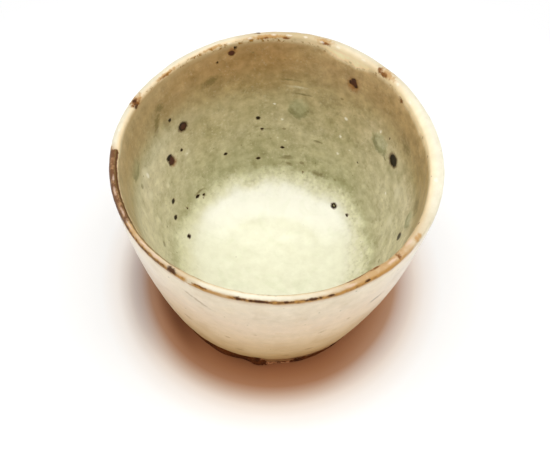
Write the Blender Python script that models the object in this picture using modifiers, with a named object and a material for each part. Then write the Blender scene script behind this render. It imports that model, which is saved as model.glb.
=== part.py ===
# Soba choko cup: a wheel-thrown stoneware cup, glazed inside and outside, with a bare foot ring.
# Metres, +Z up. The origin is the centre of the foot, on the surface that the cup stands on.

import math

import bmesh
import bpy

# Driving dimensions
RIM_RADIUS = 0.041  # outside of the lip
HEIGHT = 0.0586  # table to the top of the lip
FOOT_RADIUS = 0.0287  # the outside wall's line where it reaches the table
BELLY = 0.0020  # how far the outside wall swells past a straight cone at half height
LIP_WIDTH = 0.0026  # wall thickness at the lip, whose top is a half round
CORNER_WALL = 0.0056  # wall thickness level with the inside floor
FLOOR_HEIGHT = 0.0085  # inside floor above the table
CORNER_RADIUS = 0.0120  # inside corner between the floor and the wall
FOOT_HEIGHT = 0.0030  # depth of the recess under the cup
FOOT_SPREAD = 0.0004  # how far the bare foot stands out past the outside wall's line
FOOT_WIDTH = 0.0065  # width of the foot ring
FOOT_CHAMFER = 0.0007  # worn edges of the foot ring
GLAZE_COAT = 0.0006  # thickness of every glaze coat
GLAZE_LINE = 0.0042  # where the outside glaze stops above the table
LIP_GLAZE_DEPTH = 0.0034  # how far the iron-stained lip glaze comes down on both sides
SEAT_GAP = 0.0001  # clearance between pieces that are fused in the kiln

# How the rim left the wheel: not quite round and not quite level
RIM_THREE_LOBES = 0.00030
THREE_LOBES_TURN = math.radians(-14)
RIM_FOUR_LOBES = 0.00017
FOUR_LOBES_TURN = math.radians(-11)
RIM_SADDLE = 0.00070
SADDLE_TURN = math.radians(49)

# Fineness of the turned surfaces
TURN_STEPS = 64
WALL_STEPS = 9
LIP_STEPS = 6
CORNER_STEPS = 7
SHARP_EDGE = math.radians(40)  # edges that turn by more than this stay crisp
MERGE_DISTANCE = 0.00001  # points closer than this are one point

# Finishes: linear colour and roughness
BARE_CLAY = ((0.235, 0.105, 0.050), 0.85)
INSIDE_CELADON = ((0.520, 0.500, 0.300), 0.25)
OUTSIDE_CREAM = ((0.660, 0.560, 0.430), 0.32)
LIP_IRON = ((0.330, 0.175, 0.085), 0.40)

LIP_RADIUS = LIP_WIDTH / 2
LIP_LEVEL = HEIGHT - LIP_RADIUS  # where the walls end and the half round begins
LIP_GLAZE_EDGE = HEIGHT - LIP_GLAZE_DEPTH
CLAY_DEPTH = GLAZE_COAT + SEAT_GAP  # the clay's surface lies this far under the glaze's


def spread(first, last, steps):
    """Evenly spaced values from first to last, both included."""
    return [first + (last - first) * i / steps for i in range(steps + 1)]


def outside_radius(z):
    """Outside of the cup at height z: a cone that swells in the middle."""
    t = z / LIP_LEVEL
    return FOOT_RADIUS + (RIM_RADIUS - FOOT_RADIUS) * t + 4 * BELLY * t * (1 - t)


def inside_radius(z):
    """Inside of the wall at height z: the wall thins evenly from the corner to the lip."""
    t = (z - FLOOR_HEIGHT) / (LIP_LEVEL - FLOOR_HEIGHT)
    return outside_radius(z) - CORNER_WALL + (CORNER_WALL - LIP_WIDTH) * t


# Each stretch of the cup's section as (radius, height) points, drawn at a depth under the finished surface.


def outside_wall(depth, low, high):
    return [(outside_radius(z) - depth, z) for z in spread(low, high, WALL_STEPS)]


def lip_arc(depth):
    centre = RIM_RADIUS - LIP_RADIUS
    radius = LIP_RADIUS - depth
    angles = spread(0, math.pi, LIP_STEPS)
    return [(centre + radius * math.cos(a), LIP_LEVEL + radius * math.sin(a)) for a in angles]


def inside_wall(depth, high):
    low = FLOOR_HEIGHT + CORNER_RADIUS
    return [(inside_radius(z) + depth, z) for z in spread(high, low, WALL_STEPS)]


def inside_floor(depth):
    """From the foot of the inside wall round the corner to the centre of the floor."""
    points = []
    for a in spread(0, math.pi / 2, CORNER_STEPS):
        z = FLOOR_HEIGHT + CORNER_RADIUS - (CORNER_RADIUS + depth) * math.sin(a)
        drawn_in = (CORNER_RADIUS + depth) * (1 - math.cos(a))
        points.append((inside_radius(z) + depth - drawn_in, z))
    return points + [(0.0, FLOOR_HEIGHT - depth)]


def joined(*stretches):
    """The stretches end to end, without the points where one starts on the last one's end."""
    points = []
    for point in [p for stretch in stretches for p in stretch]:
        if not points or math.dist(point, points[-1]) > MERGE_DISTANCE:
            points.append(point)
    return points


def wobble(point):
    """Moves a point as the wet rim moved: nothing at the foot or the axis, most at the lip."""
    share = (point.z / HEIGHT) ** 2 * point.xy.length / RIM_RADIUS
    turn = math.atan2(point.y, point.x)
    swell = RIM_THREE_LOBES * math.cos(3 * (turn - THREE_LOBES_TURN))
    swell += RIM_FOUR_LOBES * math.cos(4 * (turn - FOUR_LOBES_TURN))
    point.x += share * swell * math.cos(turn)
    point.y += share * swell * math.sin(turn)
    point.z += share * RIM_SADDLE * math.cos(2 * (turn - SADDLE_TURN))


def material(name, finish):
    colour, roughness = finish
    made = bpy.data.materials.new(name)
    made.use_nodes = True
    shader = made.node_tree.nodes["Principled BSDF"]
    shader.inputs["Base Color"].default_value = (*colour, 1)
    shader.inputs["Roughness"].default_value = roughness
    shader.inputs["Metallic"].default_value = 0
    return made


def turned(name, section, finish):
    """A piece turned about the Z axis from its section, then wobbled. A section off the axis makes a ring."""
    outline = bmesh.new()
    corners = [outline.verts.new((radius, 0, z)) for radius, z in section]
    for start, end in zip(corners, corners[1:]):
        outline.edges.new((start, end))
    if section[0][0] > 0:
        outline.edges.new((corners[-1], corners[0]))
    profile = bpy.data.meshes.new(name + "_profile")
    outline.to_mesh(profile)
    outline.free()

    blank = bpy.data.objects.new(name + "_blank", profile)
    bpy.context.collection.objects.link(blank)
    screw = blank.modifiers.new("turning", "SCREW")
    screw.axis = "Z"
    screw.steps = TURN_STEPS
    screw.render_steps = TURN_STEPS
    screw.use_merge_vertices = True
    screw.merge_threshold = MERGE_DISTANCE
    graph = bpy.context.evaluated_depsgraph_get()
    mesh = bpy.data.meshes.new_from_object(blank.evaluated_get(graph))
    bpy.data.objects.remove(blank)
    bpy.data.meshes.remove(profile)

    for vertex in mesh.vertices:
        wobble(vertex.co)
    faces = bmesh.new()
    faces.from_mesh(mesh)
    bmesh.ops.recalc_face_normals(faces, faces=faces.faces)
    faces.to_mesh(mesh)
    faces.free()
    mesh.name = name
    mesh.shade_smooth()
    mesh.set_sharp_from_angle(angle=SHARP_EDGE)
    mesh.materials.append(material(name, finish))
    piece = bpy.data.objects.new(name, mesh)
    cup.objects.link(piece)


def clay_body():
    """The thrown cup of stoneware under its glaze, from the foot ring's seat to the lip."""
    section = joined(
        [(0.0, FOOT_HEIGHT)],
        outside_wall(CLAY_DEPTH, FOOT_HEIGHT, LIP_LEVEL),
        lip_arc(CLAY_DEPTH),
        inside_wall(CLAY_DEPTH, LIP_LEVEL),
        inside_floor(CLAY_DEPTH),
    )
    turned("clay_body", section, BARE_CLAY)


def foot_ring():
    """The bare ring that the cup stands on, under the clay body."""
    top = FOOT_HEIGHT - SEAT_GAP
    outer = FOOT_RADIUS + FOOT_SPREAD
    inner = outer - FOOT_WIDTH
    section = [
        (outside_radius(top) - CLAY_DEPTH, top),
        (outer, FOOT_CHAMFER),
        (outer - FOOT_CHAMFER, 0.0),
        (inner + FOOT_CHAMFER, 0.0),
        (inner, FOOT_CHAMFER),
        (inner, top),
    ]
    turned("foot_ring", section, BARE_CLAY)


def outside_glaze():
    """The cream coat on the outside wall, from the lip glaze down to the glaze line."""
    top = LIP_GLAZE_EDGE - SEAT_GAP
    face = outside_wall(0, GLAZE_LINE, top)
    back = outside_wall(GLAZE_COAT, GLAZE_LINE, top)
    turned("outside_glaze", face[::-1] + back, OUTSIDE_CREAM)


def lip_glaze():
    """The thin iron-stained coat over the lip, where the glaze drew away and the clay colours it."""
    sides = []
    for depth in (0, GLAZE_COAT):
        outer = [(outside_radius(LIP_GLAZE_EDGE) - depth, LIP_GLAZE_EDGE)]
        inner = [(inside_radius(LIP_GLAZE_EDGE) + depth, LIP_GLAZE_EDGE)]
        sides.append(joined(outer, lip_arc(depth), inner))
    turned("lip_glaze", sides[0] + sides[1][::-1], LIP_IRON)


def inside_glaze():
    """The celadon coat that lines the cup, from the lip glaze to the middle of the floor."""
    top = LIP_GLAZE_EDGE - SEAT_GAP
    face = joined(inside_wall(0, top), inside_floor(0))
    back = joined(inside_wall(GLAZE_COAT, top), inside_floor(GLAZE_COAT))
    turned("inside_glaze", face[::-1] + back, INSIDE_CELADON)


for old in list(bpy.data.objects):
    bpy.data.objects.remove(old)
cup = bpy.data.collections.new("soba_choko_cup")
bpy.context.scene.collection.children.link(cup)
clay_body()
foot_ring()
outside_glaze()
lip_glaze()
inside_glaze()
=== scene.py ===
# Soba choko cup: the looks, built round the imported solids. Metres, +Z up; the camera looks along +Y and down.
import math

import bmesh
import bpy
import numpy as np
from mathutils import Matrix, Vector, noise


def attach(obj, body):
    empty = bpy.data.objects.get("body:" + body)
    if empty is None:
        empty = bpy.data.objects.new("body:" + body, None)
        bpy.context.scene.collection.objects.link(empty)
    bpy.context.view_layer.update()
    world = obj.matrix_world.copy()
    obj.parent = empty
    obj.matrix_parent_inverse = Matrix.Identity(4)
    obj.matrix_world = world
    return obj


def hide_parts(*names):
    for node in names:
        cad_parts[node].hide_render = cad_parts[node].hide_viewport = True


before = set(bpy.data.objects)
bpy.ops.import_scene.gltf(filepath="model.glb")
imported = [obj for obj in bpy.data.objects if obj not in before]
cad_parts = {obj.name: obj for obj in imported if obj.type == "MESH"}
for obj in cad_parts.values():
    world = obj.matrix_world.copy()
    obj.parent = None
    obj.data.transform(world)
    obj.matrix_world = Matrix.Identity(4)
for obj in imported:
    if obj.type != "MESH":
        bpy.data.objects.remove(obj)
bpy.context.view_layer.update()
print("frame loaded:", sorted(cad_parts))
mm = 0.001
samePoint = 1e-6  # points on a section closer than this are one point

# the cup's own sizes, the same as in the solids down to ringWidth
cup = {
    "rim": 41.0 * mm,  # outside of the lip
    "height": 58.6 * mm,
    "foot": 28.7 * mm,  # the outside wall's line where it reaches the table
    "belly": 2.0 * mm,
    "lip": 2.6 * mm,
    "cornerWall": 5.6 * mm,  # wall thickness level with the inside floor
    "floor": 8.5 * mm,
    "corner": 12.0 * mm,  # inside corner between floor and wall
    "coat": 0.6 * mm,  # glaze thickness
    "seat": 0.1 * mm,  # between glaze and clay
    "recess": 3.0 * mm,  # depth of the hollow under the foot
    "ringWidth": 6.5 * mm,
    # the looks' own
    "spread": 0.75 * mm,  # the bare foot stands out past the wall's line, by 0.4 mm in the solids
    "footLean": 0.05,  # and leans in this much as it rises
    "pressed": (14 * mm, 1 * mm),  # how far under the lip's level its change of width starts and is full
}
lipLevel = cup["height"] - cup["lip"] / 2

# how the rim left the wheel: (lobes, size, turn in degrees)
rimLobes = ((3, 0.3 * mm, -14), (4, 0.17 * mm, -11))
rimSaddle = (2, 0.7 * mm, 49)


def outsideRadius(z):
    t = z / lipLevel
    return cup["foot"] + (cup["rim"] - cup["foot"]) * t + 4 * cup["belly"] * t * (1 - t)


def insideRadius(z):
    t = (z - cup["floor"]) / (lipLevel - cup["floor"])
    return outsideRadius(z) - cup["cornerWall"] + (cup["cornerWall"] - cup["lip"]) * t


# outside of the clay: nearly upright where the foot is bare, under the glaze above that
def clayRadius(z):
    bare = cup["foot"] + cup["spread"] - cup["footLean"] * z
    return max(outsideRadius(z) - cup["coat"] - cup["seat"], bare)


def lobe(spec, turn):
    count, size, peak = spec
    return size * math.cos(count * (turn - math.radians(peak)))


def wobble(co):
    share = (co.z / cup["height"]) ** 2 * co.xy.length / cup["rim"]
    turn = math.atan2(co.y, co.x)
    swell = share * sum(lobe(spec, turn) for spec in rimLobes)
    return co + Vector((swell * math.cos(turn), swell * math.sin(turn), share * lobe(rimSaddle, turn)))


def steps(first, last, size):
    count = max(1, round(abs(last - first) / size))
    return [first + (last - first) * i / count for i in range(count + 1)]


def arc(centre, radius, first, last, size):
    angles = steps(math.radians(first), math.radians(last), size / radius)
    return [(centre[0] + radius * math.cos(a), centre[1] + radius * math.sin(a)) for a in angles]


# stretches of the cup's section, drawn at a depth under the finished surface
def floorLine(depth, size):
    reach = cup["corner"] + depth
    edge = insideRadius(cup["floor"] - depth) - cup["corner"]
    line = [(r, cup["floor"] - depth) for r in steps(0, edge, size)]
    for a in steps(math.pi / 2, 0, size / reach):
        z = cup["floor"] + cup["corner"] - reach * math.sin(a)
        line.append((insideRadius(z) + depth - reach * (1 - math.cos(a)), z))
    return line


def insideLine(depth, size):
    return [(insideRadius(z) + depth, z) for z in steps(cup["floor"] + cup["corner"], lipLevel, size)]


def lipLine(depth, size):
    return arc((cup["rim"] - cup["lip"] / 2, lipLevel), cup["lip"] / 2 - depth, 180, 0, size)


def outsideLine(depth, low, size):
    return [(outsideRadius(z) - depth, z) for z in steps(lipLevel, low, size)]


def beadLine(low, radius, size):
    return arc((outsideRadius(low) - radius, low), radius, 0, -90, size)


def joined(*stretches):
    line = []
    for point in (p for stretch in stretches for p in stretch):
        if not line or math.dist(point, line[-1]) > samePoint:
            line.append(point)
    return line


def lineLength(line):
    return sum(math.dist(a, b) for a, b in zip(line, line[1:]))


def eased(value, low, high):
    t = min(1.0, max(0.0, (value - low) / (high - low)))
    return t * t * (3 - 2 * t)


# up from start to full, and down again from last to end
def between(value, start, full, last, end):
    return eased(value, start, full) * (1 - eased(value, last, end))


def grain(co, size, seed=0.0):
    return noise.noise(co / size + Vector((seed, seed * 1.7, -seed)))


def turnFrom(turn, degrees):
    return (turn - math.radians(degrees) + math.pi) % math.tau - math.pi


# reads a list of (turn in degrees, value, ...) rows all the way round
def roundValue(rows, column, turn):
    return np.interp(np.degrees(turn), [row[0] for row in rows], [row[column] for row in rows], period=360)


# the lip is thinner in places and thicker in others: the inner edge moves, the outer one stays
def pressLip(co, turn, thicker):
    level = min(co.z, lipLevel)
    middle = (outsideRadius(level) + insideRadius(level)) / 2
    inner = 1 - eased(co.xy.length, middle - cup["lip"] / 2, middle + cup["lip"] / 2)
    high = eased(co.z, *(lipLevel - under for under in cup["pressed"]))
    return co - Vector((math.cos(turn), math.sin(turn), 0)) * thicker * inner * high


# the bare foot isn't quite round
def footOut(z, out):
    return out * (1 - eased(z, glaze["line"] - 1 * mm, glaze["line"] + glaze["overlap"]))


# spins a section once round; "run" keeps the distance along it, and extra cuts make the turn finer
def spun(section, turns, cuts):
    bm = bmesh.new()
    run = bm.verts.layers.float.new("run")
    reach = bm.verts.layers.float.new("reach")
    corners = [bm.verts.new((r, 0, z)) for r, z in section]
    corners[0][reach] = section[0][0]
    for a, b, (r, z) in zip(corners, corners[1:], section[1:]):
        bm.edges.new((a, b))
        b[run] = a[run] + (b.co - a.co).length
        b[reach] = r
    bmesh.ops.spin(bm, geom=bm.verts[:] + bm.edges[:], cent=(0, 0, 0), axis=(0, 0, 1), angle=math.tau,
                   steps=turns, use_merge=True, use_duplicate=False)
    bmesh.ops.remove_doubles(bm, verts=bm.verts, dist=samePoint / 10)
    hoops = [e for e in bm.edges if abs(e.verts[0][run] - e.verts[1][run]) < samePoint / 10]
    bmesh.ops.subdivide_edges(bm, edges=hoops, cuts=cuts, use_grid_fill=True)
    for v in bm.verts:
        if v[reach] > 0:
            v.co.xy = v.co.xy.normalized() * v[reach]  # new points go from the chord out to the round
    bmesh.ops.recalc_face_normals(bm, faces=bm.faces)
    bm.normal_update()
    return bm


def placed(name, data):
    made = bpy.data.objects.new(name, data)
    bpy.context.scene.collection.objects.link(made)
    return made


def meshOf(bm, name):
    mesh = bpy.data.meshes.new(name)
    bm.to_mesh(mesh)
    bm.free()
    return mesh


def finished(bm, name, material):
    mesh = meshOf(bm, name)
    mesh.shade_smooth()
    mesh.materials.append(material)
    piece = placed(name, mesh)
    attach(piece, "root")
    print(name, "has", len(mesh.polygons), "faces")
    return piece


# how close each point is to the nearest mark: 1 in its middle, 0 on its edge
def closeness(marks, runAt, turn, run, reach):
    field = np.full(len(run), -4.0)  # far from any mark
    for markTurn, place, width, length, *lean in marks:
        across = turnFrom(turn, markTurn) * reach
        along = run - runAt(place * mm)
        slope = math.radians(lean[0] if lean else 0)
        c, s = math.cos(slope), math.sin(slope)
        far = np.hypot((across * c + along * s) / (width * mm / 2),
                       (along * c - across * s) / (length * mm / 2))
        field = np.maximum(field, 1 - far)
    return field


# shader helpers
def feed(tree, node, inputs):
    for key, value in inputs.items():
        if isinstance(value, bpy.types.NodeSocket):
            tree.links.new(value, node.inputs[key])
        else:
            node.inputs[key].default_value = value


def addNode(tree, kind, inputs=None, **settings):
    made = tree.nodes.new("ShaderNode" + kind)
    for key, value in settings.items():
        setattr(made, key, value)
    feed(tree, made, inputs or {})
    return made


def calc(tree, operation, first, second=0.0, third=0.0):
    return addNode(tree, "Math", {0: first, 1: second, 2: third}, operation=operation).outputs[0]


def rest(tree, value):
    return calc(tree, "SUBTRACT", 1.0, value)


def fade(tree, value, low, high):
    spec = {"Value": value, "From Min": low, "From Max": high}
    return addNode(tree, "MapRange", spec, interpolation_type="SMOOTHSTEP").outputs[0]


def opaque(colour):
    return (*colour, 1)


def blend(tree, amount, under, over, mode="MIX"):
    spec = {0: amount, 6: under, 7: over}
    return addNode(tree, "Mix", spec, data_type="RGBA", blend_type=mode).outputs[2]


def speckle(tree, coords, size, detail=2.0, roughness=0.5, distortion=0.0):
    spec = {"Vector": coords, "Scale": 1 / size, "Detail": detail, "Roughness": roughness}
    return addNode(tree, "TexNoise", {**spec, "Distortion": distortion}).outputs[0]


def stretched(tree, coords, scale):
    return addNode(tree, "Mapping", {"Vector": coords, "Scale": scale}).outputs[0]


def attribute(tree, name):
    return addNode(tree, "Attribute", attribute_name=name).outputs["Fac"]


def rampOf(tree, value, stops):
    ramp = addNode(tree, "ValToRGB", {"Fac": value})
    elements = ramp.color_ramp.elements
    elements.remove(elements[1])
    for number, (at, colour) in enumerate(stops):
        element = elements.new(at) if number else elements[0]
        element.position = at
        element.color = opaque(colour)
    return ramp.outputs["Color"]


def newMaterial(name):
    material = bpy.data.materials.new(name)
    material.use_nodes = True
    return material, material.node_tree, material.node_tree.nodes["Principled BSDF"]


def roughen(tree, shader, height, strength, distance):
    bump = addNode(tree, "Bump", {"Strength": strength, "Distance": distance, "Height": height})
    feed(tree, shader, {"Normal": bump.outputs[0]})


# dark grains that the clay sheds: each cell of a cell pattern holds one grain or none
def kilnSpecksGroup():
    group = bpy.data.node_groups.new("kiln specks", "ShaderNodeTree")
    face = group.interface
    face.new_socket("Vector", in_out="INPUT", socket_type="NodeSocketVector")
    for name, start in (("Spacing", 3 * mm), ("Grain", 0.25), ("Share", 0.3)):
        face.new_socket(name, in_out="INPUT", socket_type="NodeSocketFloat").default_value = start
    face.new_socket("Mask", in_out="OUTPUT", socket_type="NodeSocketFloat")
    given = group.nodes.new("NodeGroupInput").outputs
    result = group.nodes.new("NodeGroupOutput").inputs
    scale = calc(group, "DIVIDE", 1.0, given["Spacing"])
    cells = addNode(group, "TexVoronoi", {"Vector": given["Vector"], "Scale": scale})
    pick = addNode(group, "SeparateColor", {"Color": cells.outputs["Color"]}).outputs
    size = calc(group, "MULTIPLY", given["Grain"], calc(group, "MULTIPLY_ADD", pick["Green"], 0.7, 0.3))
    inside = fade(group, calc(group, "DIVIDE", cells.outputs["Distance"], size), 1.0, 0.6)
    held = calc(group, "LESS_THAN", pick["Red"], given["Share"])
    group.links.new(calc(group, "MULTIPLY", inside, held), result["Mask"])
    return group


kilnSpecks = kilnSpecksGroup()


def specks(tree, coords, spacing, size, share):
    spec = {"Vector": coords, "Spacing": spacing, "Grain": size, "Share": share}
    return addNode(tree, "Group", spec, node_tree=kilnSpecks).outputs["Mask"]


# the glaze: one coat from the middle of the floor over the lip and down the outside
glaze = {
    "step": 0.64 * mm, "lipStep": 0.36 * mm, "turns": 96, "cuts": 3,
    "hiddenStep": 6 * mm, "hiddenFloor": 2.2 * mm,  # the side on the clay
    "line": 3.4 * mm,  # height where the outside coat is drawn to stop, before it wanders
    "taper": 5 * mm, "edge": 0.14 * mm, "bead": 0.3 * mm,  # the coat thins towards its lower edge
    "overlap": 5 * mm,  # how far up under the coat the foot keeps its own shape
    "ragged": 1.0 * mm, "raggedReach": 9 * mm, "edgeSunk": 0.04 * mm, "backSunk": 0.06 * mm,
    "wallSlope": 1.025, "wallLean": 0.35,  # along the outside wall, and out at its foot, for a rise of one
    "ringPitch": 5.2 * mm, "ringDepth": 0.05 * mm, "outerRings": 0.4,  # throwing rings, fainter outside
    "swell": 0.24 * mm, "ripple": 0.06 * mm, "lipWave": 0.14 * mm, "lipGrain": 0.07 * mm,
    # the pool dries as a shallow dish, lowest to the back, that ends this far along the section
    "poolLow": (0, 6 * mm), "poolRound": 120 * mm, "poolEdge": (12 * mm, 25 * mm),
}

# marks are (turn in degrees, place in mm, width and length in mm, lean in degrees if they lean);
# the place is the height above the table, or on the lip the way across it from the inside
glazeDrips = (
    (80.3, 35, 6.4, 7.4), (35.6, 38.1, 7.4, 6.4, 14), (175.3, 45.3, 6.4, 6.2), (-8, 39, 5, 6.5),
    (-110, 38, 6, 7), (-52, 33, 5, 6),
)
glazeMarks = {
    "iron": ("inside", (
        (138.3, 38.4, 3.1, 3.2), (150.9, 32.9, 2.3, 2), (150.4, 31.3, 2.5, 2.6), (24.7, 38.1, 3.7, 3.8),
        (143.9, 43.6, 1.1, 1.3), (142.6, 31.6, 1, 1.1), (119.1, 21.9, 1.2, 1), (99.9, 31.3, 1.3, 1.3),
        (98, 27.4, 1.2, 0.9), (100.8, 18, 1.4, 0.9), (160.6, 20.9, 1.7, 1.6), (166, 17.4, 1.7, 1.3),
        (145, 15.5, 1.6, 1, -8), (140.8, 14.7, 1.1, 0.8), (142.2, 14.1, 0.7, 0.7), (155.5, 15.7, 0.8, 0.8),
        (171, 12.5, 1.7, 1.1), (31.9, 12.9, 1.3, 0.9), (87, 21.3, 1.3, 0.9), (31.6, 42.2, 0.7, 0.9),
        (56.3, 49, 1.5, 1.5), (58.7, 49.3, 1.4, 1.2), (-10.2, 32.6, 2, 3, 16), (110.1, 54.9, 1.9, 1.7, 20),
        (108.4, 56.4, 1.1, 1), (116.5, 53.2, 0.9, 0.9), (57.5, 50.2, 1.6, 1.9), (43.7, 12.2, 2.1, 1.7),
        (43.7, 26.5, 0.8, 0.8), (73, 15.2, 1, 0.7), (-150, 24, 1.6, 1.8), (-70, 41, 2.2, 2.6),
        (-95, 28, 1.2, 1.2), (-120, 45, 1.4, 1.5),
    )),
    "ringHeart": ("inside", ((43.7, 12.2, 0.9, 0.8),)),  # a spot that is only a ring
    "redHeart": ("inside", (  # where the iron burnt red
        (138.1, 38.3, 2.3, 2.3), (149.8, 31.2, 3.2, 3.2), (110.1, 54.9, 2.6, 2.4), (57.4, 49.5, 3, 3),
        (-70, 41, 2, 2.2),
    )),
    "rust": ("inside", (
        (57.4, 49.2, 4.6, 5.6), (110, 55.4, 3.2, 3.2), (149.6, 30.6, 3.4, 4.2), (-70, 41, 3.4, 3.8),
    )),
    "drip": ("inside", glazeDrips),
    # the upper part of each run, above its dark lower edge
    "dripHeart": ("inside", [(turn, place + 1.5, width * 0.86, length * 0.86, *lean)
                             for turn, place, width, length, *lean in glazeDrips]),
    # raised bumps of thick pale glaze, their pale colour partly their own and partly a painted highlight
    "pale": ("inside", (
        (169.5, 39.3, 2.9, 5.4, -28), (173.5, 32.6, 2.8, 3.8, -20), (140.3, 29.4, 2.8, 2.1),
        (186, 35, 1.8, 6), (159, 26.5, 1.4, 2.6), (178.5, 25, 1.6, 4), (81.6, 42.2, 7, 0.9),
        (12, 33, 3, 6, -15), (5, 26, 3, 5, -10),
    )),
    "smudge": ("inside", (
        (151, 46.6, 2.6, 8.5, 30), (147.5, 50, 4, 3, 20), (120.7, 47.9, 6.8, 2.8, -17), (20.7, 46.3, 6, 4.2),
        (-6, 44, 6, 5), (-75, 46, 7, 3, 10), (-135, 35, 4, 4),
    )),
    "olive": ("inside", (
        (84, 44.2, 8, 0.7, 2), (79, 40, 6.5, 0.8, -2), (96, 27.3, 4, 0.9), (68.5, 25.6, 4.5, 1, -8),
        (63.5, 16.2, 6.5, 1.4, -6), (82, 16.5, 2.5, 1, 10), (84, 18.3, 4.6, 1.5, -4), (141.5, 16, 7, 0.8, 8),
        (-172.4, 20.7, 2.2, 2.2), (176, 38.7, 1.3, 2), (30.4, 35.6, 2.6, 0.8, 20), (-130, 36, 5, 1, 10),
        (-80, 48, 6, 1.4, -12),
    )),
    # burst bubbles, raised a little, each painted with a glint of light
    "bubbleGlint": ("inside", (
        (56.7, 37.2, 1.4, 1.4), (57.2, 30.7, 1.2, 1.2), (56.2, 24.9, 1.2, 1.2), (37.7, 41.4, 1.1, 1.3),
        (92, 36, 1.2, 0.8), (88, 30.7, 1.1, 1.1), (19.2, 28.1, 1.2, 1.2), (50.2, 28.3, 0.8, 0.8),
        (89.7, 24.6, 0.9, 0.9), (85.8, 23.6, 0.9, 0.9), (140.5, 29.4, 1.1, 0.9), (168.9, 37.8, 1.3, 3.4, -12),
    )),
    "lump": ("lip", (
        (158.9, 0.9, 1.8, 1.2), (157.4, 2.1, 1.4, 1.4), (99, 2.4, 1.8, 0.7), (-123.8, 3.1, 2.7, 1.9),
        (-100.2, 3.5, 2, 1.2), (-94.6, 3.5, 5.6, 0.7), (-84.4, 3.5, 3.6, 0.7), (-76.4, 3.4, 5.4, 0.8),
        (-70, 3.4, 1.4, 0.7), (-57, 3.3, 1.5, 0.9),
    )),
    "lipRust": ("lip", (
        (72, 1, 3, 1.1), (45.6, 0.9, 3.2, 1.6), (47.6, 1.5, 1.6, 1.2), (141, 0.9, 4, 0.7), (88, 0.7, 2, 0.7),
        (96, 0.8, 1.8, 0.6), (157.8, 1.6, 3.4, 3), (-52.5, 1.2, 2.8, 1.4), (-61, 1.1, 6, 0.8),
        (-42.8, 2.3, 1.3, 2.8, 8), (-27.3, 0.6, 1.2, 0.8), (-92, 0.9, 10, 0.5), (-73.5, 0.9, 5, 0.5),
        (-113.2, 3.4, 4.6, 0.7), (32.6, -1.2, 2.4, 1.7), (13, -0.8, 0.9, 1.2), (4, -0.7, 0.8, 1),
    )),
    "lipGold": ("lip", (  # glaze that melted thin and golden on the edge
        (-33.2, 2.7, 2.6, 1.6), (44, 1.6, 6, 2.4), (73, 1.5, 5, 1.6), (140, 1.1, 9, 1.1), (118, 1.1, 7, 1),
        (95, 1.1, 12, 1.2), (157, 2, 5, 3.4),
    )),
    "lipPale": ("lip", (  # cream left on the edge where the fire drew the rest off
        (-62.8, 2.7, 4.2, 0.9), (-46, 2.2, 3.4, 1), (-36.5, 1.7, 2.8, 1.3), (-166.5, 2.2, 2.4, 0.8),
        (-161, 2.5, 2.8, 0.9), (-151.8, 2.4, 3, 1), (-146, 2.6, 3.2, 0.9), (-137, 2.5, 4.4, 1.1),
        (-130.5, 2.6, 4.4, 1.1),
    )),
    "lipGlint": ("lip", (  # painted highlights: small glints of light on the lip's gloss
        (110.5, 1, 1.5, 0.7), (102.2, 1.2, 1.6, 0.7), (93, 1.6, 1.6, 0.7), (87, 1.5, 1.8, 0.7),
        (80.8, 1.5, 1.5, 0.7), (74, 1.1, 1.6, 0.7), (66.8, 1.1, 1.6, 0.8), (55.2, 1.1, 1.6, 0.7),
        (37.6, 1.3, 1.8, 0.8), (28, 1, 1.4, 0.7), (-8, 1.8, 1.6, 0.8), (172, 2, 1.6, 0.8),
    )),
    "scratch": ("outside", ((-49.4, 42.3, 4.8, 1.9, -18), (60, 30, 0.9, 5, 40), (150, 22, 0.9, 6, -55))),
    "stain": ("outside", (
        (-114, 49.4, 1.3, 7, -50), (-117.5, 51, 1, 4, -52), (-70, 34.4, 1.4, 2.4, 60),
        (-124, 29.9, 1.8, 2.8, -40), (-106.5, 28.7, 1.6, 1.8), (-72, 18, 3, 2.6, 10), (-103, 17, 2.4, 2.6),
        (-82, 13, 2.4, 1.6), (-60, 38, 1.2, 1.4), (-95, 36, 1, 1.2), (95, 40, 1.6, 1.8), (120, 16, 2.2, 2.4),
        (20, 20, 1.8, 2), (-20, 12, 2, 2.2), (170, 36, 1.4, 1.6), (70, 14, 2.4, 2), (40, 44, 1.2, 1.4),
    )),
}
# how far marks stand out, or are sunk, in mm, and how close to the mark that starts and is full
markRelief = {
    "drip": (0.22, -0.1, 0.4), "iron": (-0.12, -0.1, 0.4), "bubbleGlint": (0.2, -0.2, 0.8),
    "scratch": (-0.14, -0.2, 0.8), "pale": (0.16, -0.3, 0.8), "olive": (-0.1, -0.3, 0.7),
    "lump": (0.24, -0.2, 0.7), "lipRust": (-0.1, -0.2, 0.7),
}
# how strongly marks cover, how close to the mark that starts and is full, how rough the edge is
markPaint = {
    "smudge": (0.72, -0.3, 0.8, 1.2), "olive": (0.72, -0.3, 0.6, 1.0), "pale": (0.85, -0.3, 0.8, 0.8),
    "rust": (0.8, -0.1, 0.7, 0.8), "ringHeart": (0.9, -0.1, 0.4, 0.3), "bubbleGlint": (0.85, -0.1, 0.5, 0.3),
    "lipGold": (0.75, -0.3, 0.6, 1.6), "lipPale": (0.65, -0.3, 0.7, 1.0), "lipRust": (0.9, -0.2, 0.6, 1.4),
    "lipGlint": (0.5, -0.2, 0.6, 1.2), "lump": (0.95, -0.3, 0.45, 1.2),
    "scratch": (0.75, -0.3, 0.8, 1.2), "stain": (0.6, -0.4, 0.9, 1.0),
}
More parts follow.
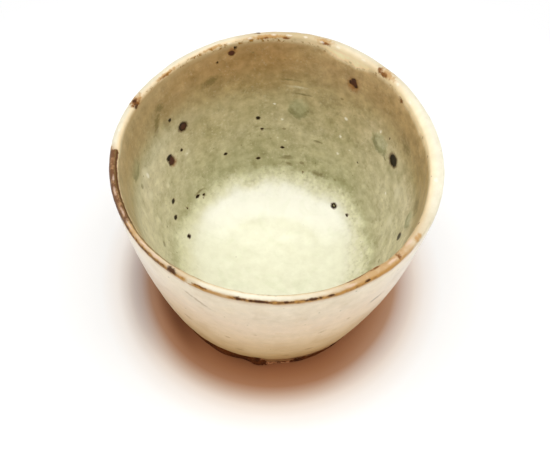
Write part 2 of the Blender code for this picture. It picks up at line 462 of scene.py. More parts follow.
# round the lip: turn in degrees, how far the cream comes down inside in mm, how brown its edges are,
# how much thicker it is in mm, how tan its top is, how beige the thin cream is
lipRows = (
    (-179, 0.6, 1, -0.2, 0.9, 0), (-168, 0.6, 1, -0.4, 1, 0), (-160, 0.5, 1, -0.5, 1, 0),
    (-153, 0.4, 1, -0.6, 1, 0), (-148, 0.3, 0.95, -0.7, 1, 0), (-143, 0.2, 0.9, -0.85, 1, 0),
    (-133, 0.2, 0.89, -0.85, 0.65, 0), (-126, 0.2, 0.88, -0.85, 0.5, 0.2), (-122, 0.2, 0.84, -0.7, 0.5, 0.4),
    (-117.4, 0, 0.72, -0.6, 0.4, 0.5), (-116, 0, 0.3, -0.5, 0.25, 0.4), (-114.6, 0, 0.35, -0.5, 0.2, 0.4),
    (-113.6, 0, 0.86, -0.5, 0.2, 0.3), (-112, 0, 0.74, -0.5, 0.15, 0.1), (-107, 0, 0.62, -0.5, 0.1, 0),
    (-103, 0.1, 0.55, -0.5, 0.1, 0), (-100, 0.2, 0.84, -0.5, 0.05, 0), (-88, 0.2, 0.84, -0.5, 0.05, 0),
    (-81, 0.2, 0.72, -0.5, 0.15, 0.15), (-70, 0.2, 0.76, -0.5, 0.4, 0.1), (-62, 0, 0.74, -0.4, 0.85, 0),
    (-57, 0, 0.72, -0.3, 1, 0), (-52, 0, 0.7, 0, 1, 0), (-48, 0, 0.68, -0.35, 1, 0),
    (-40, 0, 0.6, -0.3, 0.9, 0.1), (-36, 0.1, 0.45, -0.1, 0.6, 0.3), (-31, 0.3, 0.25, 0.1, 0.3, 0.5),
    (-24, 0.6, 0.1, 0.4, 0.1, 0.35), (-17, 0.9, 0, 0.7, 0, 0.1), (-10, 1, 0, 0.9, 0, 0), (4, 1.4, 0, 1, 0, 0),
    (18, 2, 0, 0.9, 0, 0), (30, 1.6, 0.05, 0.6, 0, 0.15), (42, 1, 0.2, 0.2, 0.1, 0.3),
    (50, 1, 0.2, 0.3, 0.1, 0.4), (58, 3.3, 0.1, 0.3, 0, 0.35), (66, 2.9, 0.1, 0.2, 0, 0.45),
    (74, 1, 0.3, 0.1, 0.1, 0.7), (84, 0.8, 0.35, 0, 0.1, 0.95), (94, 0.3, 0.4, 0, 0.2, 0.75),
    (102, 0, 0.4, 0, 0.2, 0.6), (110, -0.1, 0.4, 0, 0.1, 0.2), (136, -0.4, 0.4, 0, 0.05, 0.2),
    (152, -0.8, 0.3, -0.1, 0.05, 0.3), (160, -0.7, 0.1, -0.1, 0, 0.3), (168, 0, 0, -0.2, 0, 0.2),
    (176, 0.7, 0, -0.3, 0, 0.1), (178.8, 0.8, 0.1, -0.2, 0.1, 0),
)
# the stretch of the lip that burnt brown: turn in degrees, how much
burntRows = ((178.4, 0), (183, 1), (205, 1), (212, 0.55), (221, 0))
# round the foot: turn in degrees, how high the clay shows and how far it stands out in mm, how pale it is
footRows = (
    (-180, 3.4, 0, 0.2), (-150, 3.2, 0, 0.1), (-135, 3.2, 0, 0), (-125, 4.2, 0.05, 0), (-115, 5.2, 0.3, 0),
    (-110, 4.2, 0, 0), (-104, 2.8, -0.35, 0), (-99, 4.2, 0, 0), (-95, 5.4, 0.25, 0), (-92, 3.4, 0.1, 0.3),
    (-90, 2, 0, 0.75), (-87, 1.7, -0.25, 0.8), (-85, 1.7, -0.3, 0.3), (-83, 1.8, -0.3, 0.75),
    (-81, 1.7, -0.25, 0.25), (-79, 1.6, -0.2, 0.7), (-77, 1.8, -0.2, 0.15), (-75, 2.2, -0.15, 0),
    (-68, 2.2, -0.1, 0), (-60, 1.8, -0.25, 0), (-48, 1.5, -0.4, 0.05), (-20, 3, -0.3, 0.2), (20, 2.6, 0, 0.5),
    (60, 4.2, 0.1, 0), (100, 3, 0, 0.3), (140, 4.4, 0.1, 0),
)


def glazeCoat(material):
    floor, wall = floorLine(0, glaze["step"]), insideLine(0, glaze["step"])
    lip, outside = lipLine(0, glaze["lipStep"]), outsideLine(0, glaze["line"], glaze["step"])
    face = joined(floor, wall, lip, outside, beadLine(glaze["line"], glaze["bead"], glaze["lipStep"]))
    hidden = glaze["hiddenStep"]
    back = joined(floorLine(cup["coat"], glaze["hiddenFloor"]), insideLine(cup["coat"], hidden),
                  lipLine(cup["coat"], glaze["lipStep"]), outsideLine(cup["coat"], glaze["line"], hidden))
    inner = joined(floor, wall)
    lipStart, faceEnd = lineLength(inner), lineLength(face)
    lipEnd = lipStart + lineLength(lip)
    runs = np.cumsum([0.0] + [math.dist(a, b) for a, b in zip(inner, inner[1:])])
    heights = np.array([z for r, z in inner]) + runs * 1e-9  # always rising, so that a height has one place
    runAt = {
        "inside": lambda place: np.interp(place, heights, runs),
        "lip": lambda place: lipStart + place,
        "outside": lambda place: lipEnd + (lipLevel - place) * glaze["wallSlope"],
    }

    bm = spun(face + back[::-1], glaze["turns"], glaze["cuts"])
    rounds = ("creamDrop", "lipBrown", "lipTan", "lipBeige", "lipBurnt", "fringe")
    layers = {name: bm.verts.layers.float.new(name) for name in (*glazeMarks, *rounds)}
    runLayer, reachLayer = bm.verts.layers.float["run"], bm.verts.layers.float["reach"]
    verts = list(bm.verts)
    run = np.array([v[runLayer] for v in verts])
    reach = np.array([v[reachLayer] for v in verts])
    turn = np.array([math.atan2(v.co.y, v.co.x) for v in verts])
    fields = {name: closeness(marks, runAt[side], turn, run, reach)
              for name, (side, marks) in glazeMarks.items()}
    fields["creamDrop"] = roundValue(lipRows, 1, turn) * mm
    # the lip's changes of colour run ragged and slanting across it
    ragged = np.array([grain(v.co, 1.5 * mm, 13) for v in verts])
    lipTurn = turn + np.radians(2.0 * ragged + 0.8 * np.clip((run - lipStart) / mm - 2, -2, 2))
    for name, rows, column in (("lipBrown", lipRows, 2), ("lipTan", lipRows, 4),
                               ("lipBeige", lipRows, 5), ("lipBurnt", burntRows, 1)):
        fields[name] = roundValue(rows, column, lipTurn)
    thicker = roundValue(lipRows, 3, turn) * mm
    bareHeight = roundValue(footRows, 1, turn) * mm
    standsOut = roundValue(footRows, 2, turn) * mm
    fields["fringe"] = np.clip((bareHeight - 0.6 * mm) / (1.8 * mm), 0, 1)  # a thick edge stays pale
    fields["fringe"] *= 1 - 0.8 * roundValue(footRows, 3, turn)

    for i, v in enumerate(verts):
        for name, layer in layers.items():
            v[layer] = fields[name][i]
        co, lift, shove, at = v.co.copy(), 0.0, 0.0, run[i]
        around = Vector((math.cos(turn[i]), math.sin(turn[i]), 0))
        shown = at < faceEnd + samePoint
        if shown:
            inWall = between(at, 16 * mm, 26 * mm, lipStart - 9 * mm, lipStart)
            outWall = between(at, lipEnd + 2 * mm, lipEnd + 9 * mm, faceEnd - 5 * mm, faceEnd)
            ringPhase = math.tau * at / glaze["ringPitch"] + turn[i] + 3.2 * grain(co, 22 * mm, 4)
            rings = glaze["ringDepth"] * math.sin(ringPhase) * (0.5 + 0.9 * grain(co, 12 * mm, 9))
            lift += (inWall + glaze["outerRings"] * outWall) * rings
            body = max(inWall, outWall, 0.5 - 0.5 * eased(at, 14 * mm, 26 * mm))
            lift += body * (glaze["swell"] * grain(co, 24 * mm) + glaze["ripple"] * grain(co, 4.5 * mm, 2))
            inPool = 1 - eased(at, *glaze["poolEdge"])
            lift += inPool * (co.xy - Vector(glaze["poolLow"])).length_squared / (2 * glaze["poolRound"])
            for name, (height, low, high) in markRelief.items():
                lift += height * mm * eased(fields[name][i], low, high)
            # the lip is wavy
            nearLip = between(at, lipStart - 8 * mm, lipStart, lipEnd, lipEnd + 6 * mm)
            co.z += nearLip * glaze["lipWave"] * grain(around, 0.3, 3)
            shove += nearLip * glaze["lipWave"] * grain(around, 0.22, 7)
            lift += nearLip * glaze["lipGrain"] * grain(co, 1.8 * mm, 11)
        co = pressLip(co, turn[i], thicker[i]) + v.normal * lift + around * shove
        # lower edge: the line where the coat stopped wanders, and the coat thins out on the bare foot
        low = 1 - eased(co.z, glaze["line"], glaze["line"] + glaze["raggedReach"])
        if at > lipEnd and low > 0 and co.xy.length > 0.8 * cup["foot"]:
            wander = 0.7 * grain(around, 0.16, 5) + 0.6 * grain(around, 0.06, 6)
            wander += 0.3 * grain(around, 0.022, 8)
            rise = low * (bareHeight[i] - glaze["line"] + glaze["ragged"] * wander)
            co.z += rise
            wallNow = co.xy.length + glaze["wallLean"] * rise
            if shown:
                drawn = eased(at, faceEnd - glaze["taper"], faceEnd - 0.4 * mm)
                onClay = glaze["edge"] * (1 - eased(at, faceEnd - glaze["bead"], faceEnd)) - glaze["edgeSunk"]
            else:
                drawn, onClay = low ** 3, -glaze["backSunk"]
            wallHere = clayRadius(co.z) + footOut(co.z, standsOut[i]) + onClay
            co.xy = around.xy * (wallNow * (1 - drawn) + wallHere * drawn)
        v.co = wobble(co)
    bm.verts.layers.float.remove(bm.verts.layers.float["reach"])
    piece = finished(bm, "glaze_coat", material(lipStart, lipEnd, faceEnd))
    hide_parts("inside_glaze", "lip_glaze", "outside_glaze")
    return piece


# linear colours; down the glaze they are (mm along the section, colour): inside from the middle of the floor,
# lip from its inner edge and outside from its outer edge
celadon = {
    "inside": (
        (0, (0.88, 0.895, 0.7)), (16, (0.88, 0.895, 0.7)), (22, (0.86, 0.865, 0.67)), (26, (0.8, 0.79, 0.56)),
        (28.2, (0.7, 0.69, 0.455)), (29.6, (0.56, 0.55, 0.34)), (30.8, (0.475, 0.455, 0.26)),
        (34, (0.5, 0.47, 0.275)), (39, (0.535, 0.49, 0.285)), (43, (0.535, 0.48, 0.28)),
        (47, (0.515, 0.45, 0.25)), (51, (0.505, 0.43, 0.23)), (55, (0.5, 0.41, 0.215)),
        (59.5, (0.465, 0.36, 0.175)), (64, (0.445, 0.31, 0.14)), (68, (0.465, 0.31, 0.135)),
    ),
    "lip": ((-0.3, "underLip"), (0.8, "thinCream"), (1.9, "cream"), (3.7, "cream")),
    "outside": (
        (1, (0.8, 0.68, 0.5)), (4, (0.78, 0.65, 0.455)), (9.5, (0.735, 0.59, 0.4)), (16, (0.73, 0.555, 0.36)),
        (28, (0.73, 0.555, 0.335)), (34, (0.71, 0.54, 0.31)), (40.5, (0.71, 0.54, 0.295)),
        (46.4, (0.62, 0.45, 0.21)), (50.5, (0.53, 0.36, 0.155)), (54, (0.42, 0.25, 0.1)),
    ),
    "underLip": (0.52, 0.36, 0.175), "thinCream": (0.8, 0.65, 0.41), "cream": (0.8, 0.75, 0.585),
    "beige": (0.54, 0.42, 0.225), "honey": (0.3, 0.135, 0.016), "tan": (0.54, 0.34, 0.155),
    "edge": (0.16, 0.11, 0.035), "lipPale": (0.73, 0.54, 0.4), "gold": (0.46, 0.23, 0.05),
    "brown": (0.105, 0.034, 0.009), "burnt": (0.2, 0.088, 0.04), "lump": (0.06, 0.018, 0.004),
    "lipRust": (0.19, 0.062, 0.007), "rust": (0.33, 0.115, 0.026), "iron": (0.018, 0.01, 0.004),
    "ironRed": (0.08, 0.026, 0.013), "ironEdge": (0.13, 0.062, 0.018), "ringHeart": (0.34, 0.31, 0.15),
    "olive": (0.2, 0.165, 0.062), "smudge": (0.175, 0.13, 0.04), "pale": (0.76, 0.71, 0.5),
    "glint": (0.93, 0.9, 0.78), "paintedPoolGlare": (0.93, 0.935, 0.83), "scratch": (0.22, 0.165, 0.115),
    "stain": (0.3, 0.175, 0.06), "fringe": (0.06, 0.016, 0.002), "thinEdge": (0.36, 0.165, 0.055),
    "paintedFlankSheen": (0.81, 0.75, 0.66),
}


def celadonGlaze(lipStart, lipEnd, faceEnd):
    material, tree, shader = newMaterial("celadon glaze")
    coords = addNode(tree, "TexCoord").outputs["Object"]
    place = addNode(tree, "SeparateXYZ", {"Vector": coords}).outputs
    aside = calc(tree, "ABSOLUTE", place["X"])
    run = attribute(tree, "run")

    def both(first, second):
        return calc(tree, "MULTIPLY", first, second)

    def most(first, *others):
        for other in others:
            first = calc(tree, "MAXIMUM", first, other)
        return first

    def scaled(value, size, start):
        return calc(tree, "MULTIPLY_ADD", value, size, start)

    def swing(value, size, start=0.0):
        return scaled(calc(tree, "SUBTRACT", value, 0.5), size, start)

    def clouds(size, *kind):
        return speckle(tree, coords, size * mm, *kind)

    def ease(value, low, high):
        return fade(tree, value, low, high)

    # eases in from start to full, in mm from a place along the section
    def after(value, base, start, full):
        return fade(tree, value, base + start * mm, base + full * mm)

    def band(value, low, start, full, high, last, end):
        return both(after(value, low, start, full), rest(tree, after(value, high, last, end)))

    # coats are (how strong, where, colour): a name or a socket covers, and three numbers tint
    def layered(under, *coats):
        for strength, mask, over in coats:
            mode = "MULTIPLY" if isinstance(over, tuple) else "MIX"
            over = celadon[over] if isinstance(over, str) else over
            over = opaque(over) if isinstance(over, tuple) else over
            under = blend(tree, both(mask, strength), under, over, mode)
        return under

    # bands of colour along the section, which wander up and down except on the lip
    nearLip = band(run, lipStart, -7, -2.5, lipEnd, 0.5, 5)
    drift = swing(clouds(3.6, 3), 3.4 * mm, swing(clouds(13, 2), 7 * mm))
    wandered = scaled(drift, rest(tree, nearLip), run)
    lipDrift = swing(clouds(1.6, 3), 1.0 * mm, attribute(tree, "creamDrop"))
    wandered = scaled(lipDrift, band(run, lipStart, -7, -2.5, lipStart, 0.3, 2), wandered)
    stops = [(at * mm / faceEnd, colour) for at, colour in celadon["inside"]]
    stops += [((lipStart + at * mm) / faceEnd, celadon[name]) for at, name in celadon["lip"]]
    stops += [((lipEnd + at * mm) / faceEnd, colour) for at, colour in celadon["outside"]]
    colour = rampOf(tree, calc(tree, "DIVIDE", wandered, faceEnd), stops)

    inWall = band(run, 0, 24, 30, lipStart, -3, 0.5)
    outWall = after(run, lipEnd, 0, 3)
    pool = rest(tree, after(run, 0, 18, 26))

    # side walls painted paler: painted light where the lamps at the sides fall on them
    paintedSideLight = both(after(aside, 0, 20, 34), band(run, 0, 28, 34, 0, 50, 62))
    colour = layered(colour, (0.55, paintedSideLight, "pale"))

    # mottling, streaks that ran down and faint lines left by the potter's fingers
    mottle = clouds(2.8, 4, 0.62)
    streaks = speckle(tree, stretched(tree, coords, (1, 1, 0.16)), 2.6 * mm, 3)
    fingers = speckle(tree, stretched(tree, coords, (0.1, 0.1, 1)), 1.9 * mm, 3)
    leftSide = after(place["X"], 0, 0, -34)
    shade = swing(mottle, scaled(leftSide, -0.35, 1.2))
    shade = swing(streaks, scaled(leftSide, 0.3, 0.15), shade)
    shade = swing(fingers, scaled(leftSide, -0.16, 0.2), shade)
    shade = most(both(shade, scaled(inWall, 0.75, 0.25)), -0.55)
    tones = {"Red": 1.0, "Green": 1.07, "Blue": 1.35}  # thick glaze is whiter, thin is browner
    tones = {name: scaled(shade, size, 1.0) for name, size in tones.items()}
    colour = blend(tree, 1.0, colour, addNode(tree, "CombineColor", tones).outputs[0], "MULTIPLY")
    patches = clouds(9, 3)
    leftEdge = both(leftSide, band(run, 0, 50, 58, lipStart, -1, 0.5))
    backEdge = both(after(place["Y"], 0, 14, 32), after(place["X"], 0, 12, -4))
    backEdge = both(backEdge, band(run, 0, 52, 60, lipStart, -1.5, 0))
    thinCream = after(attribute(tree, "creamDrop"), 0, 0.3, 2)
    thinCream = both(band(run, lipStart, -5, -2.5, lipStart, 0.2, 1.4), thinCream)
    thickCream = both(after(wandered, lipStart, 0.5, 1.6), after(run, lipStart, 2.2, 0.8))
    colour = layered(
        colour,
        (1.0, both(ease(patches, 0.52, 0.7), inWall), (0.86, 0.86, 0.8)),
        (1.0, both(ease(patches, 0.48, 0.3), inWall), (1.07, 1.07, 1.12)),
        (0.9, leftEdge, (0.97, 1.05, 1.14)),
        (1.0, backEdge, (0.92, 0.82, 0.7)),
        (1.0, thinCream, (1.09, 1.09, 1.06)),  # paler where cream ran down from the lip
        (1.0, thickCream, (1.21, 1.09, 0.95)),
    )

    # grains in the glaze, fewer pale ones high up, soft foam at the edge of the pool, most at the back, and a
    # painted reflection whitening the back of the pool
    grains = clouds(0.75, 3, 0.6)
    patchy = both(ease(clouds(6, 2), 0.34, 0.58), inWall)
    clear = scaled(after(run, lipStart, -24, -12), -0.6, 1.0)
    backSide = after(calc(tree, "ADD", place["X"], place["Y"]), 0, -12, 20)
    foam = both(band(wandered, 0, 20, 23, 0, 27, 30), scaled(backSide, 0.7, 0.3))
    foamGrains = clouds(1.5, 4, 0.6)
    cells = {"Vector": coords, "Scale": 1 / (0.9 * mm)}
    foamBubbles = addNode(tree, "TexVoronoi", cells, feature="SMOOTH_F1").outputs[0]
    colour = layered(
        colour,
        (0.42, both(ease(grains, 0.54, 0.7), both(patchy, clear)), "pale"),
        (0.36, both(ease(grains, 0.44, 0.28), patchy), "olive"),
        (0.36, both(foam, ease(foamGrains, 0.5, 0.66)), "glint"),
        (0.2, both(foam, ease(foamGrains, 0.46, 0.3)), "olive"),
        (0.22, both(foam, ease(foamBubbles, 0.3, 0.1)), "glint"),
        (0.1, both(foam, ease(foamBubbles, 0.4, 0.6)), "olive"),
        # painted reflection: the back of the pool whitened where its glaze mirrors the light above
        (0.7, both(band(wandered, 0, 12, 18, 0, 23, 27), after(place["Y"], 0, 2, 17)), "paintedPoolGlare"),
        (0.35, both(ease(clouds(6, 2, 0.5, 1.2), 0.52, 0.66), pool), (0.9, 0.93, 0.86)),
    )

    # runs of thick glaze with a dark lower edge, smudges, pale raised bumps with a painted highlight, rust,
    # iron spots, and burst bubbles with a painted glint
    edgeNoise = swing(clouds(0.9, 3), 1.2)

    def marked(name, low, high, rough=1.0):
        return ease(scaled(edgeNoise, rough, attribute(tree, name)), low, high)

    # the coat of a kind of mark, in its own colour unless another is named
    def mark(name, over=None):
        strength, *edge = markPaint[name]
        return strength, marked(name, *edge), over or name

    runEdge = calc(tree, "SUBTRACT", marked("drip", -0.08, 0.28, 0.6), marked("dripHeart", -0.35, 0.55, 0.6))
    flecks = specks(tree, stretched(tree, coords, (0.65, 0.65, 1)), 3.6 * mm, 0.16, 0.35)
    fine = specks(tree, coords, 2.7 * mm, 0.14, 0.34)
    glints = specks(tree, coords, 3.4 * mm, 0.11, 0.22)
    core = blend(tree, marked("redHeart", -0.2, 0.6), opaque(celadon["iron"]), opaque(celadon["ironRed"]))
    ironMask = marked("iron", -0.02, 0.2, 0.36)
    colour = layered(
        colour,
        (1.0, marked("drip", -0.15, 0.4, 0.6), (0.86, 0.94, 0.95)),
        (0.85, ease(runEdge, 0.05, 0.95), (0.62, 0.61, 0.48)),
        mark("smudge"), mark("olive"), mark("pale"), mark("rust"),
        (0.55, both(flecks, both(inWall, backSide)), "smudge"),
        (0.75, both(fine, scaled(pool, -0.45, 0.75)), "olive"),
        (0.8, marked("iron", -0.36, 0.04, 0.45), "ironEdge"),
        (1.0, ironMask, core),
        mark("ringHeart"),
        (0.5, both(glints, both(inWall, clear)), "pale"),
        mark("bubbleGlint", "glint"),
    )

    # lip: honey where the cream is thin, gold, tan and brown where the glaze drew off
    brownness = attribute(tree, "lipBrown")
    lipRun = swing(clouds(1.5, 3), 0.8 * mm, run)
    broken = ease(clouds(2.2, 3, 0.6), 0.42, 0.58)
    crumbs = ease(clouds(1.1, 3, 0.6), 0.5, 0.6)
    fired = ease(brownness, 0.25, 0.75)
    burnt = ease(scaled(edgeNoise, 0.7, attribute(tree, "lipBurnt")), 0.35, 0.65)
    top = band(run, lipStart, -0.4, 0.9, lipEnd, -0.8, 1.2)
    tanTop = both(band(lipRun, lipStart, 0.5, 1.1, lipEnd, -0.9, -0.3), attribute(tree, "lipTan"))
    honey = both(band(wandered, lipStart, -0.5, 0.2, lipStart, 0.8, 1.3), crumbs)
    honey = both(honey, both(ease(brownness, 0.03, 0.3), broken))
    crest = both(band(lipRun, lipStart, 0.9, 1.4, lipEnd, -1.2, -0.5), burnt)
    stain = both(band(run, lipEnd, -1.0, -0.4, lipEnd, 0.8, 4), burnt)
    outerHaze = band(lipRun, lipEnd, -1.4, -0.7, lipEnd, 0.1, 0.7)
    outerLine = band(lipRun, lipEnd, -0.95, -0.6, lipEnd, -0.1, 0.3)
    underLine = band(lipRun, lipEnd, -0.4, 0.1, lipEnd, 0.3, 2.2)
    innerLine = band(lipRun, lipStart, 0.6, 0.9, lipStart, 1.3, 1.6)
    innerRim = band(lipRun, lipStart, 0.7, 1.0, lipStart, 1.5, 1.9)
    darkest = ease(scaled(edgeNoise, 0.5, brownness), 0.7, 0.98)
    innerEdge = ease(scaled(edgeNoise, 0.1, brownness), 0.82, 0.9)
    goldToBrown = opaque(celadon["gold"]), opaque(celadon["brown"])
    goldMarks, rustMarks, lumpMarks = mark("lipGold", "gold"), mark("lipRust"), mark("lump")
    colour = layered(
        colour,
        (1.0, both(top, attribute(tree, "lipBeige")), "beige"),
        (1.0, both(tanTop, swing(broken, 0.2, 1.0)), "tan"),
        goldMarks,
        (0.9, honey, "honey"),
        (0.85, crest, "burnt"),
        (0.4, both(crest, crumbs), "tan"),
        (0.6, both(crest, rest(tree, broken)), "brown"),
        mark("lipPale"),
        (0.6, both(stain, broken), "burnt"),
        (0.55, both(underLine, ease(brownness, 0.2, 0.6)), "tan"),
        (0.7, both(outerHaze, fired), blend(tree, burnt, *goldToBrown)),
        (0.95, both(outerLine, fired), blend(tree, darkest, *goldToBrown)),
        (0.8, both(innerRim, innerEdge), "edge"),
        (0.9, both(innerLine, burnt), "brown"),
        rustMarks, mark("lipGlint", "glint"), lumpMarks,
    )

    # outside: a painted sheen on the flanks, blotches, scratches, and the brown fringe where the coat thins out
    blotch, spots = clouds(7, 4), clouds(2.2, 3, 0.6)
    lowEdge = swing(clouds(2, 4, 0.6), 4 * mm, run)
    colour = layered(
        colour,
        # painted reflection: the flanks paler and greyer, where the glaze shines at a slant
        (0.45, both(after(aside, 0, 22, 34), after(run, lipEnd, 2, 8)), "paintedFlankSheen"),
        (0.8, both(ease(blotch, 0.5, 0.7), outWall), (0.91, 0.88, 0.82)),
        (0.6, both(ease(blotch, 0.46, 0.3), outWall), (1.04, 1.03, 0.98)),
        (0.6, both(ease(spots, 0.54, 0.7), outWall), (0.92, 0.9, 0.84)),
        mark("scratch"), mark("stain"),
        (0.65, after(lowEdge, faceEnd, -3, -0.6), "thinEdge"),
        (0.95, both(after(lowEdge, faceEnd, -1.8, -0.5), attribute(tree, "fringe")), "fringe"),
    )

    # gloss: a clear layer, full over the pool, thinner up the walls and gone over iron and on the lip's brown
    matt = most(ironMask, honey, lumpMarks[1], rustMarks[1])
    matt = most(matt, both(most(outerLine, crest), fired), both(most(goldMarks[1], tanTop), 0.8))
    gloss = scaled(rest(tree, after(run, 0, 22, 29)), 0.65, scaled(outWall, 0.2, 0.3))
    gloss = both(gloss, rest(tree, matt))
    roughness = scaled(pool, -0.14, scaled(mottle, 0.2, 0.24))
    feed(tree, shader, {"Base Color": colour, "Roughness": roughness, "Specular IOR Level": 0.1})
    feed(tree, shader, {"Coat Weight": gloss, "Coat Roughness": 0.16, "Coat IOR": 1.6})
    peel = both(scaled(grains, 0.5, clouds(1.7, 2)), scaled(pool, -0.75, 1.0))
    roughen(tree, shader, peel, 0.5, 0.12 * mm)
    return material


# the clay: bare at the foot, with a trimmed hollow underneath, and hidden under the glaze above that
clay = {
    "step": 0.42 * mm, "hiddenStep": 4 * mm, "hiddenFloor": 2.2 * mm, "turns": 72, "cuts": 3,
    "worn": 0.5 * mm,  # rounding of the ring's edges
    "hollowCorner": 1.4 * mm, "trimPitch": 1.9 * mm, "trimDepth": 0.09 * mm,
    "nub": 0.5 * mm, "nubReach": 5 * mm, "grit": 0.07 * mm,
    "flat": 0.02 * mm,  # what starts lower than this is the face that the cup stands on
    "dark": (0.05, 0.011, 0.0015), "body": (0.11, 0.027, 0.004), "sand": (0.22, 0.085, 0.028),
    "pale": (0.5, 0.215, 0.09), "rubbed": (0.36, 0.2, 0.11), "speck": (0.018, 0.011, 0.008),
}
# lumps on the foot: turn in degrees, height, width and length in mm, how far they stand out in mm
footLumps = (
    (-96, 1.8, 5.6, 4, 0.6), (-91, 0.8, 3.2, 1.4, 0.35), (-72, 1.4, 4, 1.8, 0.3), (-117, 2.6, 6, 3.6, 0.35),
    (-40, 1.6, 3.4, 1.8, 0.3), (35, 1.5, 4.4, 2.2, 0.4), (120, 1.6, 3.6, 2, 0.35), (170, 1.8, 3, 1.8, 0.3),
)


def clayCup(material):
    depth, size, worn = cup["coat"] + cup["seat"], clay["step"], clay["worn"]
    outer = cup["foot"] + cup["spread"]
    inner, corner, top = outer - cup["ringWidth"], clay["hollowCorner"], cup["recess"]
    bandTop = glaze["line"] + glaze["overlap"]
    section = joined(
        [(r, top) for r in steps(0, inner - corner, size)],
        arc((inner - corner, top - corner), corner, 90, 0, size),
        arc((inner + worn, worn), worn, 180, 270, size),
        [(r, 0) for r in steps(inner + worn, outer - worn, size)],
        arc((outer - worn, worn), worn, 270, 360, size),
        [(clayRadius(z), z) for z in steps(worn, bandTop, size)],
        [(clayRadius(z), z) for z in steps(bandTop, lipLevel, clay["hiddenStep"])],
        lipLine(depth, size)[::-1],
        insideLine(depth, clay["hiddenStep"])[::-1],
        floorLine(depth, clay["hiddenFloor"])[::-1],
    )
    bm = spun(section, clay["turns"], clay["cuts"])
    for name in ("run", "reach"):
        bm.verts.layers.float.remove(bm.verts.layers.float[name])
    pale = bm.verts.layers.float.new("pale")
    for v in bm.verts:
        turn, far = math.atan2(v.co.y, v.co.x), v.co.xy.length
        v[pale] = roundValue(footRows, 3, turn) if far > inner else 0.2
        co = pressLip(v.co, turn, roundValue(lipRows, 3, turn) * mm)
        if co.z < bandTop and not (co.z > top + 0.5 * mm and far < inner):
            shown = 1 - eased(co.z, glaze["line"] - 1 * mm, glaze["line"] + 2.5 * mm)
            grit = grain(co, 1.1 * mm, 2) + 0.7 * grain(co, 0.55 * mm, 4) + 0.8 * grain(co, 4 * mm, 5)
            grit *= clay["grit"]
            lift = grit * shown
            if far < inner - 0.5 * mm:  # the hollow: a spiral left by the trimming tool, round a nub
                spiral = math.sin(math.tau * far / clay["trimPitch"] - turn + 0.8 * grain(co, 9 * mm, 3))
                lift += clay["trimDepth"] * spiral * eased(far, 2 * mm, 5 * mm)
                lift += clay["nub"] * (1 - eased(far, 0, clay["nubReach"]))
            if far > outer - worn - 0.1 * mm:
                co.xy *= 1 + footOut(co.z, roundValue(footRows, 2, turn) * mm) / far
            if far > outer - worn and co.z > 0.2 * mm:
                for lumpTurn, height, width, length, out in footLumps:
                    across = turnFrom(turn, lumpTurn) * outer
                    near = 1 - math.hypot(across / (width * mm / 2), (co.z - height * mm) / (length * mm / 2))
                    lift += out * mm * eased(near + 0.25 * grain(co, 0.9 * mm, 6), 0.0, 0.55) * shown
            co += v.normal * lift
            if v.co.z < clay["flat"]:
                co.z = -0.6 * grit  # it stays level, with pits
            co.z = max(co.z, 0.0)
        v.co = wobble(co)
    piece = finished(bm, "clay_cup", material)
    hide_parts("clay_body", "foot_ring")
    return piece


def bareClay():
    material, tree, shader = newMaterial("bare clay")
    coords = addNode(tree, "TexCoord").outputs["Object"]
    height = addNode(tree, "SeparateXYZ", {"Vector": coords}).outputs["Z"]
    patches = speckle(tree, coords, 3.2 * mm, 4, 0.6)
    sandy = speckle(tree, coords, 0.5 * mm, 2, 0.6)
    flakes = calc(tree, "SUBTRACT", speckle(tree, coords, 1.3 * mm, 3, 0.6), 0.5)
    chips = calc(tree, "MULTIPLY_ADD", flakes, 2.4, attribute(tree, "pale"))
    rubbed = rest(tree, fade(tree, height, 0.05 * mm, 0.7 * mm))  # the face that rubs on the table is paler
    colour = opaque(clay["dark"])
    for mask, name in (
        (fade(tree, patches, 0.36, 0.62), "body"),
        (calc(tree, "MULTIPLY", fade(tree, sandy, 0.54, 0.7), 0.4), "sand"),
        (fade(tree, chips, 0.35, 0.75), "pale"),
        (calc(tree, "MULTIPLY", rubbed, fade(tree, patches, 0.3, 0.6)), "rubbed"),
        (specks(tree, coords, 1.7 * mm, 0.2, 0.4), "speck"),
    ):
        colour = blend(tree, mask, colour, opaque(clay[name]))
    roughness = calc(tree, "MULTIPLY_ADD", sandy, 0.25, 0.66)
    feed(tree, shader, {"Base Color": colour, "Roughness": roughness, "Specular IOR Level": 0.1})
    roughen(tree, shader, calc(tree, "MULTIPLY_ADD", sandy, 0.6, patches), 0.7, 0.15 * mm)
    return material


# camera, lights and floor
shot = {"lens": 65.45, "elevation": 57.4, "roll": 2.35, "distance": 0.2722, "target": (0.00035, 0, 0.0263)}
studio = {
    "lamps": (  # name, place, size and power
        ("overhead", (0.0, -0.05, 0.9), 1.3, 8.0),
        ("left", (-0.8, 0.05, 0.6), 0.9, 2.6),
        ("right", (0.8, 0.05, 0.6), 0.9, 2.8),
        ("front", (0.1, -1.0, 0.3), 0.8, 1.6),
    ),
    "ambient": 0.25, "floorSize": 6.0,
    "floorDrop": 0.02 * mm,  # just under the foot, so that the two don't fight
    # mm from the cup's axis and the floor's colour there, with the cup's shadow painted in: warm brown painted
    # shadow close to the foot, white further out
    "paintedShadow": (
        (0, (0.35, 0.14, 0.06)), (30, (0.35, 0.14, 0.06)), (33, (0.375, 0.165, 0.077)),
        (36, (0.405, 0.205, 0.112)), (37.5, (0.5, 0.32, 0.225)), (39, (0.61, 0.455, 0.36)),
        (42, (0.84, 0.755, 0.69)), (45, (0.92, 0.88, 0.85)), (50, (0.965, 0.97, 0.975)),
    ),
    "shadowReach": 100 * mm, "shadowGreyTint": (1.18, 1.38, 1.62),  # greyer beside the cup
    "shadowLeftTint": (0.77, 0.78, 0.81), "shadowFootTint": (0.55, 0.5, 0.5),  # darker on its left, most at the foot
    "backdrop": (80 * mm, 140 * mm),  # where the floor turns as white as the backdrop
}


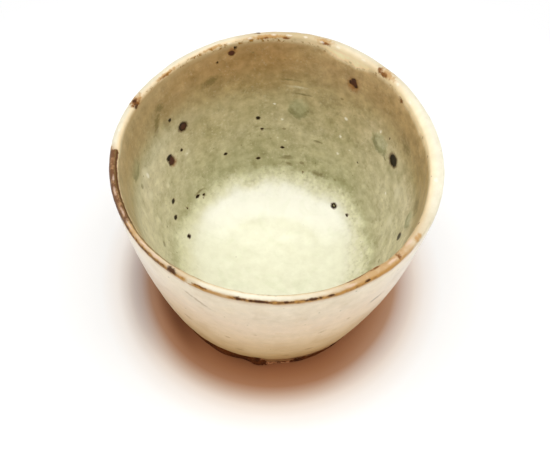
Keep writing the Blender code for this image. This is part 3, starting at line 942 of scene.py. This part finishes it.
def setCamera():
    camera = bpy.data.cameras.new("camera")
    camera.lens = shot["lens"]
    camera.sensor_width = 36
    camera.clip_start = 0.01
    tilt = Matrix.Rotation(math.radians(90 - shot["elevation"]), 4, "X")
    tilt = tilt @ Matrix.Rotation(math.radians(shot["roll"]), 4, "Z")
    place = Vector(shot["target"]) + tilt @ Vector((0, 0, shot["distance"]))
    holder = placed("camera", camera)
    holder.matrix_world = Matrix.Translation(place) @ tilt
    bpy.context.scene.camera = holder


def addSoftbox(name, place, size, power):
    box = bpy.data.lights.new(name, "AREA")
    box.shape = "DISK"
    box.size = size
    box.energy = power
    lamp = placed(name, box)
    lamp.location = place
    lamp.rotation_euler = (-Vector(place)).to_track_quat("-Z", "Y").to_euler()


# what the camera sees straight, or in glass and gloss
def seenStraight(tree):
    path = addNode(tree, "LightPath").outputs
    seen = calc(tree, "MAXIMUM", path["Is Camera Ray"], path["Is Transmission Ray"])
    return calc(tree, "MAXIMUM", seen, path["Is Glossy Ray"])


# puts white in place of what the shader gives, by an amount
def whiten(tree, amount, shader, kind, output):
    white = addNode(tree, kind, {"Color": (1, 1, 1, 1), "Strength": 1.0})
    pick = addNode(tree, "MixShader", {0: amount, 1: shader.outputs[0], 2: white.outputs[0]})
    tree.links.new(pick.outputs[0], tree.nodes[output].inputs["Surface"])


def lightStudio():
    scene = bpy.context.scene
    scene.view_settings.view_transform = "Standard"
    for lamp in studio["lamps"]:
        addSoftbox(*lamp)
    world = bpy.data.worlds.new("studio")
    scene.world = world
    world.use_nodes = True
    tree = world.node_tree
    ambient = tree.nodes["Background"]
    feed(tree, ambient, {"Color": (1, 1, 1, 1), "Strength": studio["ambient"]})
    whiten(tree, seenStraight(tree), ambient, "Background", "World Output")
    print("lamps:", len(studio["lamps"]))


def layFloor():
    bm = bmesh.new()
    under = Matrix.Translation((0, 0, -studio["floorDrop"]))
    bmesh.ops.create_grid(bm, x_segments=1, y_segments=1, size=studio["floorSize"] / 2, matrix=under)
    mesh = meshOf(bm, "floor")
    floor = placed("floor", mesh)
    material, tree, shader = newMaterial("floor")
    coords = addNode(tree, "TexCoord").outputs["Object"]
    across = addNode(tree, "SeparateXYZ", {"Vector": coords}).outputs["X"]
    flat = addNode(tree, "VectorMath", {0: coords, 1: (1, 1, 0)}, operation="MULTIPLY").outputs[0]
    far = addNode(tree, "VectorMath", {0: flat}, operation="LENGTH").outputs["Value"]
    stops = [(at * mm / studio["shadowReach"], colour) for at, colour in studio["paintedShadow"]]
    paintedShadow = rampOf(tree, calc(tree, "DIVIDE", far, studio["shadowReach"]), stops)
    # painted shadow: the floor greyer beside the cup, darker on its left and darkest at the foot
    offAxis = calc(tree, "ABSOLUTE", calc(tree, "ADD", across, 4 * mm))
    for value, start, full, close, end, name in (  # mm across the floor, then mm from the axis
        (offAxis, 17, 36, 36, 42, "shadowGreyTint"), (across, -28, -40, 39, 46, "shadowLeftTint"),
        (across, -16, -27, 31, 35.5, "shadowFootTint"),
    ):
        near = rest(tree, fade(tree, far, close * mm, end * mm))
        mask = calc(tree, "MULTIPLY", fade(tree, value, start * mm, full * mm), near)
        paintedShadow = blend(tree, mask, paintedShadow, opaque(studio[name]), "MULTIPLY")
    feed(tree, shader, {"Base Color": paintedShadow, "Roughness": 1.0, "Specular IOR Level": 0.0})
    bright = calc(tree, "MULTIPLY", seenStraight(tree), fade(tree, far, *studio["backdrop"]))
    whiten(tree, bright, shader, "Emission", "Material Output")
    mesh.materials.append(material)
    print("floor laid")


glazeCoat(celadonGlaze)
clayCup(bareClay())
layFloor()
lightStudio()
setCamera()
